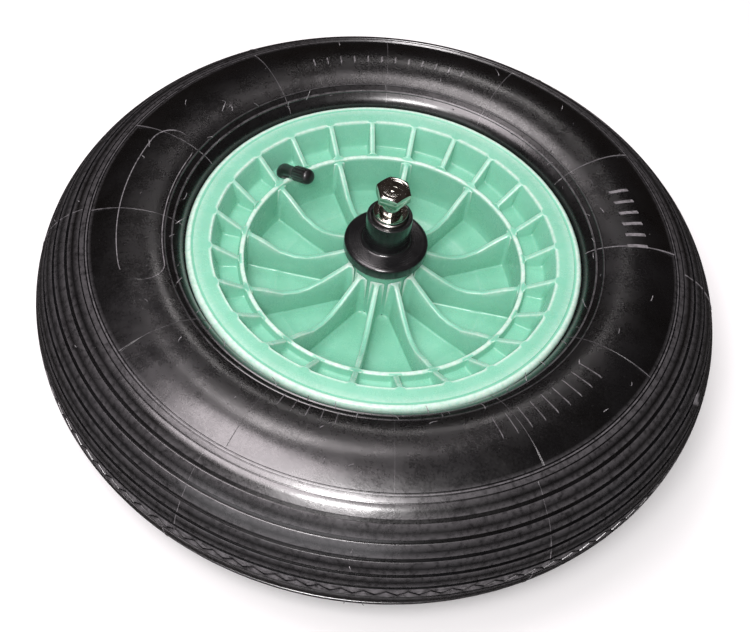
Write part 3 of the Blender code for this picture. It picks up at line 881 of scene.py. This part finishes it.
def make_finishes():
    """Every material, by the name of its slot."""
    recipes = {
        "tyre_rubber": (rubber, (0.0012, 0.0012, 0.0014), (0.003, 0.003, 0.0036), 0.22, 0.33),
        "valve_rubber": (rubber, (0.003, 0.003, 0.003), (0.007, 0.007, 0.007), 0.38, 0.5),
        "green_plastic": (green_plastic,),
        "black_plastic": (black_plastic, 0.16, 0.26),
        "cap_plastic": (black_plastic, 0.28, 0.38),
        "cage_nylon": (nylon,),
        "axle_steel": (metal, (0.42, 0.40, 0.37), (0.56, 0.55, 0.52), 0.22, 0.36),
        "bearing_steel": (metal, (0.55, 0.55, 0.55), (0.68, 0.68, 0.67), 0.12, 0.22),
        "bead_steel": (metal, (0.36, 0.27, 0.18), (0.50, 0.40, 0.28), 0.3, 0.45, False),
        "zinc_plate": (metal, (0.58, 0.56, 0.52), (0.78, 0.76, 0.72), 0.04, 0.09, False),
        "valve_brass": (metal, (0.52, 0.36, 0.13), (0.70, 0.52, 0.22), 0.2, 0.34),
    }
    return {slot: recipe(f"{slot}_look", *values) for slot, (recipe, *values) in recipes.items()}


# ---- CAD nodes still shown ----
SHOWN_NODES = {
    "bead_wire": "bead_steel", "bearing_sleeve": "bearing_steel", "bearing_cage": "cage_nylon",
    "roller": "bearing_steel",
}


def dress_nodes(frame, finishes):
    """A material for each node that no skin replaces, by the start of its name."""
    for name, node in frame["nodes"].items():
        for start, slot in SHOWN_NODES.items():
            if name.startswith(start):
                node.data.materials.clear()
                node.data.materials.append(finishes[slot])


# ---- stage ----
def camera():
    azimuth, elevation, roll = (math.radians(v) for v in (CAMERA_AZIMUTH, CAMERA_ELEVATION, CAMERA_ROLL))
    level = math.cos(elevation)
    back = Vector((math.sin(azimuth) * level, -math.cos(azimuth) * level, math.sin(elevation)))
    right = Vector((math.cos(azimuth), math.sin(azimuth), 0.0))
    up = back.cross(right)
    across = right * math.cos(roll) - up * math.sin(roll)
    upward = right * math.sin(roll) + up * math.cos(roll)
    data = bpy.data.cameras.new("camera")
    data.lens = CAMERA_LENS
    data.sensor_width = 36.0
    made = bpy.data.objects.new("camera", data)
    bpy.context.scene.collection.objects.link(made)
    turn = Matrix((across, upward, back)).transposed()
    eye = (Vector(CAMERA_TARGET) + back * CAMERA_DISTANCE) * MM
    made.matrix_world = Matrix.Translation(eye) @ turn.to_4x4()
    bpy.context.scene.camera = made


def area_light(name, position, target, size, watts, colour):
    data = bpy.data.lights.new(name, "AREA")
    data.shape = "RECTANGLE"
    data.size, data.size_y = size
    data.energy = watts
    data.color = colour
    made = bpy.data.objects.new(name, data)
    bpy.context.scene.collection.objects.link(made)
    made.location = position
    made.rotation_euler = (Vector(position) - Vector(target)).to_track_quat("Z", "Y").to_euler()


def lights():
    """Area lights as name: (position, target, size) in metres, watts and colour."""
    placed = {
        "key": ((-0.45, -0.35, 1.3), (-0.2, -0.1, 0.0), (0.75, 0.7), 11.5, (1.0, 0.91, 0.95)),
        "top_far": ((-0.2, 0.5, 1.42), (0.0, -0.05, 0.0), (0.4, 0.3), 2.8, (1.0, 0.93, 0.95)),
        "flash": ((0.0, -0.66, 0.88), (0.0, 0.0, 0.0), (0.3, 0.2), 9.0, (1.0, 0.96, 0.97)),
        "far_card": ((0.02, 1.42, 1.22), (0.0, 0.1, 0.04), (0.25, 0.12), 0.7, (1.0, 0.95, 0.95)),
        "near_card": ((-0.25, -1.35, 0.3), (0.0, 0.0, 0.0), (1.5, 0.5), 3.0, (0.98, 0.96, 1.0)),
    }
    for name, values in placed.items():
        area_light(name, *values)


def world():
    """White to the camera, nearly black in reflections, and a mid grey that fills the shadows."""
    made = bpy.data.worlds.new("studio")
    bpy.context.scene.world = made
    made.use_nodes = True
    nodes, links = made.node_tree.nodes, made.node_tree.links
    background = nodes["Background"]
    background.inputs["Strength"].default_value = 1.0
    path = nodes.new("ShaderNodeLightPath")
    shade = WORLD_FILL
    for ray, colour in (("Is Glossy Ray", WORLD_REFLECTED), ("Is Camera Ray", WORLD_SEEN)):
        mix = nodes.new("ShaderNodeMix")
        mix.data_type = "RGBA"
        links.new(path.outputs[ray], mix.inputs[0])
        if isinstance(shade, tuple):
            mix.inputs[6].default_value = shade
        else:
            links.new(shade, mix.inputs[6])
        mix.inputs[7].default_value = colour
        shade = mix.outputs[2]
    links.new(shade, background.inputs["Color"])


def floor():
    """A pale floor that shows dark in reflections, so that the tyre keeps its dark edges."""
    mesh = bpy.data.meshes.new("floor")
    build = bmesh.new()
    bmesh.ops.create_grid(build, x_segments=1, y_segments=1, size=6.0)
    build.to_mesh(mesh)
    build.free()
    obj = bpy.data.objects.new("floor", mesh)
    bpy.context.scene.collection.objects.link(obj)
    obj.location = (0, 0, FLOOR * MM)
    made = bpy.data.materials.new("floor_paper")
    made.use_nodes = True
    nodes, links = made.node_tree.nodes, made.node_tree.links
    shader = nodes["Principled BSDF"]
    shader.inputs["Base Color"].default_value = (0.93, 0.93, 0.93, 1.0)
    shader.inputs["Roughness"].default_value = 0.9
    shader.inputs["Specular IOR Level"].default_value = 0.1
    dark = nodes.new("ShaderNodeBsdfDiffuse")
    dark.inputs["Color"].default_value = (0.02, 0.019, 0.018, 1.0)
    path = nodes.new("ShaderNodeLightPath")
    mix = nodes.new("ShaderNodeMixShader")
    links.new(path.outputs["Is Glossy Ray"], mix.inputs[0])
    links.new(shader.outputs["BSDF"], mix.inputs[1])
    links.new(dark.outputs["BSDF"], mix.inputs[2])
    links.new(mix.outputs["Shader"], nodes["Material Output"].inputs["Surface"])
    mesh.materials.append(made)


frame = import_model()
finishes = make_finishes()
tyre_skin(finishes["tyre_rubber"])
side_seams(finishes["tyre_rubber"])
side_panels(finishes["tyre_rubber"])
vent_hairs(finishes["tyre_rubber"])
rim_body(finishes["green_plastic"])
axle_bar(finishes["axle_steel"])
for label, side, turn in (("upper", 1, 21.0), ("lower", -1, 5.0)):
    spacer_piece(label, side, finishes["black_plastic"])
    washer_piece(label, side, finishes["zinc_plate"])
    bolt_piece(label, side, math.radians(turn), finishes["zinc_plate"])
valve_pieces(finishes)
dress_nodes(frame, finishes)
camera()
lights()
world()
floor()
bpy.context.scene.view_settings.view_transform = "Standard"
